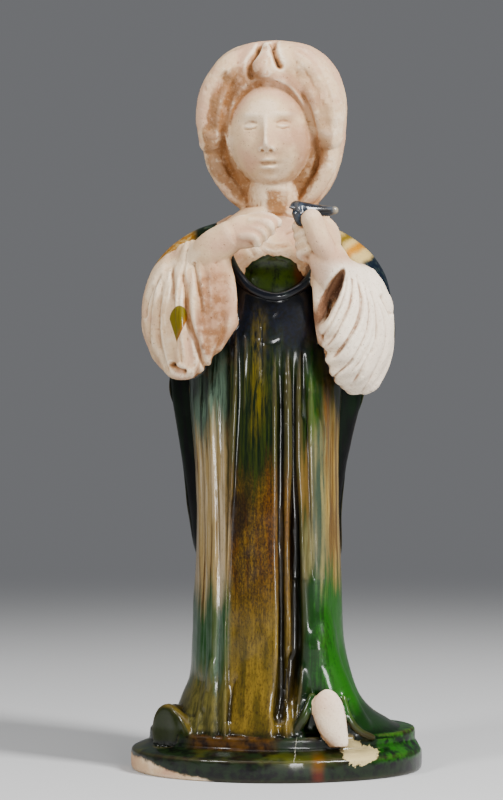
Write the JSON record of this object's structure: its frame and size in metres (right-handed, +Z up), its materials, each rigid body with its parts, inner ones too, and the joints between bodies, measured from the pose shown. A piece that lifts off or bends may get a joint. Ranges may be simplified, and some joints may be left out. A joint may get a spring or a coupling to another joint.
{
  "type": "pottery court lady figure",
  "caption": "Standing court lady in fired clay with a long pleated gown, wide sleeves and swept-up hair, a small bird on her raised hand, on a stepped oval plinth.",
  "frame": {"origin": "centre of the plinth's underside", "axes": "+Z up along the standing figure, -Y towards the viewer she faces, +X to the viewer's right"},
  "size_m": [0.172, 0.14, 0.4295],
  "materials": {
    "glazed_pottery": "gloss glaze on the gown and plinth, bare buff clay on the head, hands and sleeves"
  },
  "bodies": {
    "root": {"court_lady": "glazed_pottery"}
  },
  "joints": []
}
